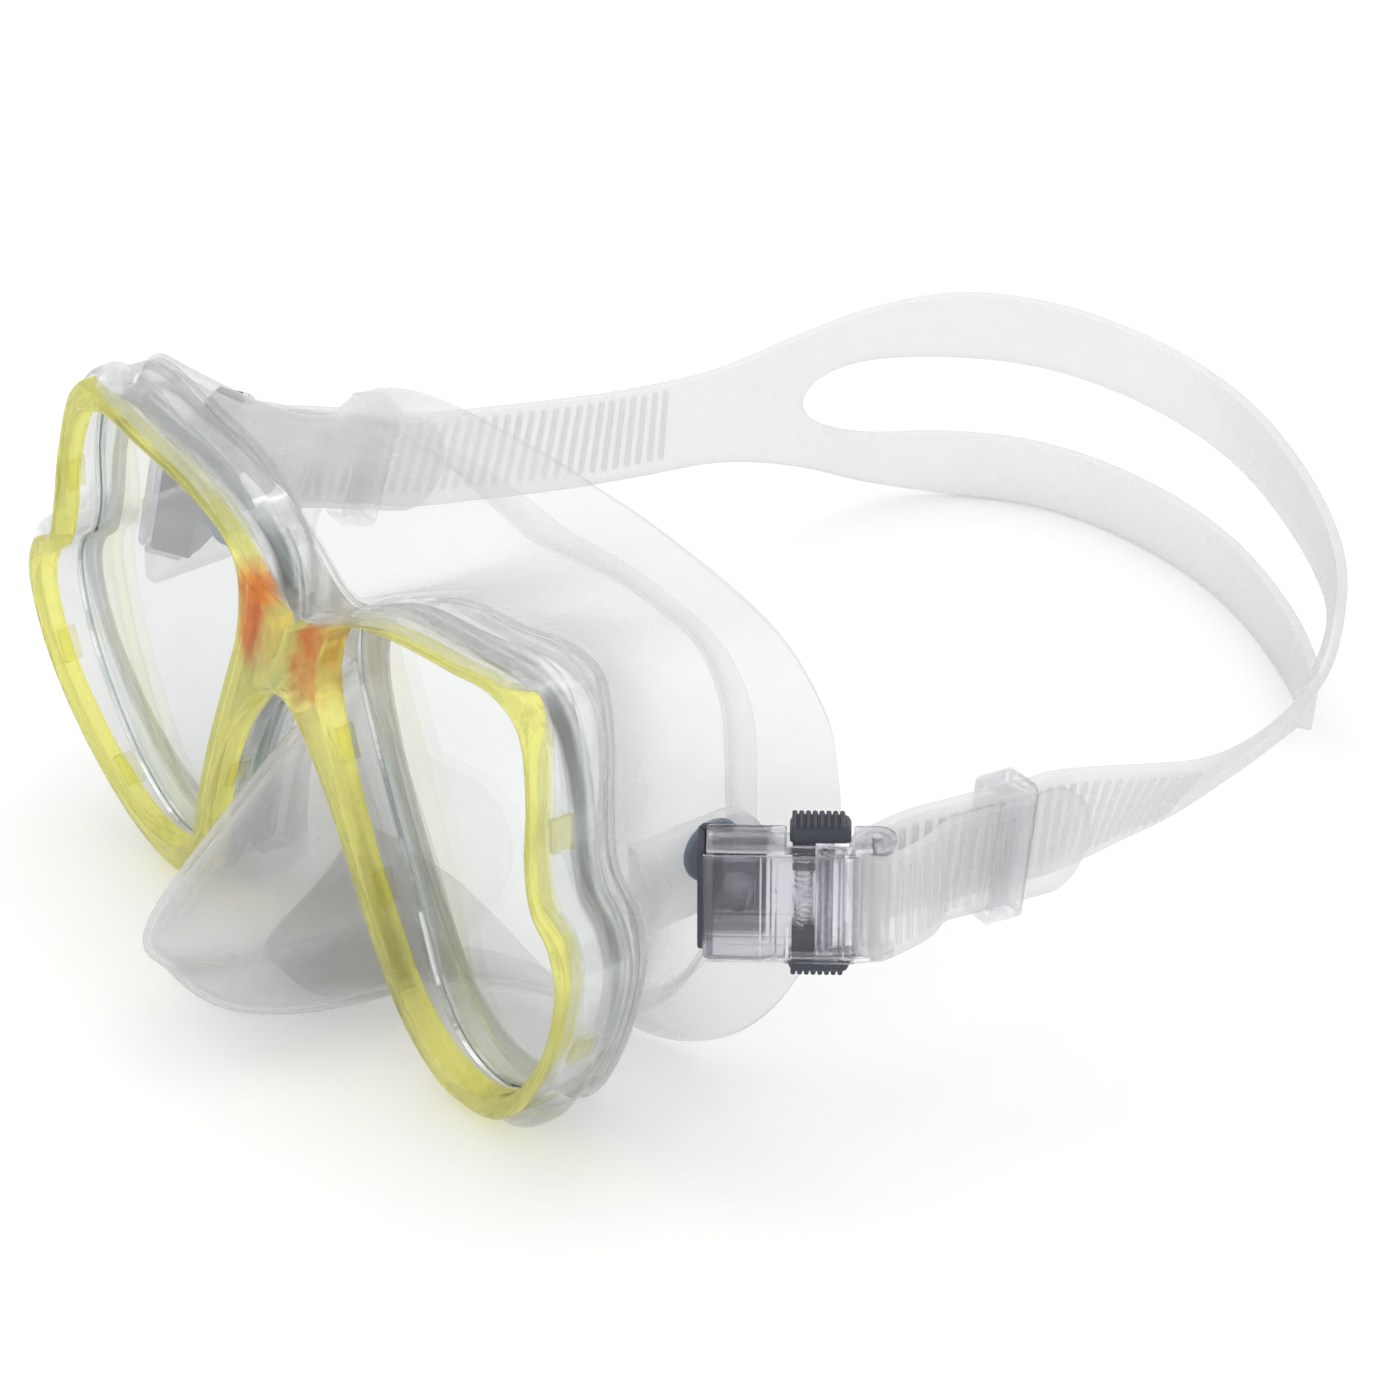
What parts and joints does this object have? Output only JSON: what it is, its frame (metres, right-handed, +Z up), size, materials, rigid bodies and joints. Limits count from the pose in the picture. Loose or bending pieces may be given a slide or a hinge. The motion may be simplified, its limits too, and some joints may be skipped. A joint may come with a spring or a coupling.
{
  "type": "dive mask",
  "caption": "Two-window snorkelling and dive mask with a clear silicone skirt and nose pocket, a yellow tinted lens bezel, and a split strap on swivelling squeeze-release buckles.",
  "frame": {"origin": "on the symmetry plane of the mask, in the middle of the face opening at the level of the eyes", "axes": "+X to the wearer's left, +Y out of the face opening towards the wearer's head, +Z up"},
  "size_m": [0.1941, 0.2416, 0.0911],
  "materials": {
    "tinted_plastic": "glossy, translucent fluorescent yellow",
    "clear_plastic": "glossy, water clear",
    "glass": "polished tempered glass with a faint green edge",
    "silicone": "soft satin, translucent",
    "dark_plastic": "satin dark grey",
    "steel": "stainless wire"
  },
  "bodies": {
    "mask": {"bezel": "tinted_plastic", "carrier_frame": "clear_plastic", "lens_left": "glass", "lens_right": "glass", "skirt": "silicone"},
    "harness": {"strap": "silicone", "swivel_base_left": "dark_plastic", "housing_left": "clear_plastic", "cover_left": "clear_plastic", "pawl_pin_left": "steel", "roller_pin_left": "steel", "spring_upper_left": "steel", "spring_lower_left": "steel", "swivel_base_right": "dark_plastic", "housing_right": "clear_plastic", "cover_right": "clear_plastic", "pawl_pin_right": "steel", "roller_pin_right": "steel", "spring_upper_right": "steel", "spring_lower_right": "steel"},
    "button_upper_left": {"button_upper_left": "dark_plastic"},
    "button_lower_left": {"button_lower_left": "dark_plastic"},
    "pawl_left": {"pawl_left": "clear_plastic"},
    "roller_left": {"roller_left": "clear_plastic"},
    "keeper_left": {"keeper_left": "clear_plastic"},
    "button_upper_right": {"button_upper_right": "dark_plastic"},
    "button_lower_right": {"button_lower_right": "dark_plastic"},
    "pawl_right": {"pawl_right": "clear_plastic"},
    "roller_right": {"roller_right": "clear_plastic"},
    "keeper_right": {"keeper_right": "clear_plastic"}
  },
  "joints": [
    {"name": "strap_swing", "type": "hinge", "parent": "mask", "child": "harness", "pos_m": [0, -0.0145, 0.004], "axis": [1, 0, 0], "range_deg": [0, 45]},
    {"name": "upper_press_left", "type": "slide", "parent": "harness", "child": "button_upper_left", "axis": [0, 0, -1], "range_m": [0, 0.0016], "stiffness_N_per_m": 200, "springref_m": -0.002, "deforming": ["spring_upper_left"]},
    {"name": "lower_press_left", "type": "slide", "parent": "harness", "child": "button_lower_left", "axis": [0, 0, 1], "range_m": [0, 0.0016], "deforming": ["spring_lower_left"]},
    {"name": "pawl_lift_left", "type": "hinge", "parent": "harness", "child": "pawl_left", "pos_m": [0.08868, -0.00906, 0.004], "axis": [0, 0, -1], "range_deg": [0, 14.01]},
    {"name": "roller_spin_left", "type": "hinge", "parent": "harness", "child": "roller_left", "pos_m": [0.09255, -0.00178, 0.004], "axis": [0, 0, 1], "continuous": true},
    {"name": "keeper_slide_left", "type": "slide", "parent": "harness", "child": "keeper_left", "axis": [0.0346, 0.9919, -0.1219], "range_m": [-0.005, 0.007]},
    {"name": "upper_press_right", "type": "slide", "parent": "harness", "child": "button_upper_right", "axis": [0, -0.225, -0.9744], "range_m": [0, 0.0016], "stiffness_N_per_m": 200, "springref_m": -0.002, "deforming": ["spring_upper_right"]},
    {"name": "lower_press_right", "type": "slide", "parent": "harness", "child": "button_lower_right", "axis": [0, 0.225, 0.9744], "range_m": [0, 0.0016], "deforming": ["spring_lower_right"]},
    {"name": "pawl_lift_right", "type": "hinge", "parent": "harness", "child": "pawl_right", "pos_m": [-0.08868, -0.0092, 0.00278], "axis": [0, 0.225, 0.9744], "range_deg": [0, 14.01]},
    {"name": "roller_spin_right", "type": "hinge", "parent": "harness", "child": "roller_right", "pos_m": [-0.09255, -0.00211, 0.00114], "axis": [0, 0.225, 0.9744], "continuous": true},
    {"name": "keeper_slide_right", "type": "slide", "parent": "harness", "child": "keeper_right", "axis": [0.1561, 0.9443, -0.2896], "range_m": [-0.005, 0.007]}
  ],
  "couplings": [
    {"joint": "lower_press_left", "follows": "upper_press_left", "ratio": 1},
    {"joint": "pawl_lift_left", "follows": "upper_press_left", "rad_per_m": 152.72},
    {"joint": "lower_press_right", "follows": "upper_press_right", "ratio": 1},
    {"joint": "pawl_lift_right", "follows": "upper_press_right", "rad_per_m": 152.72}
  ]
}
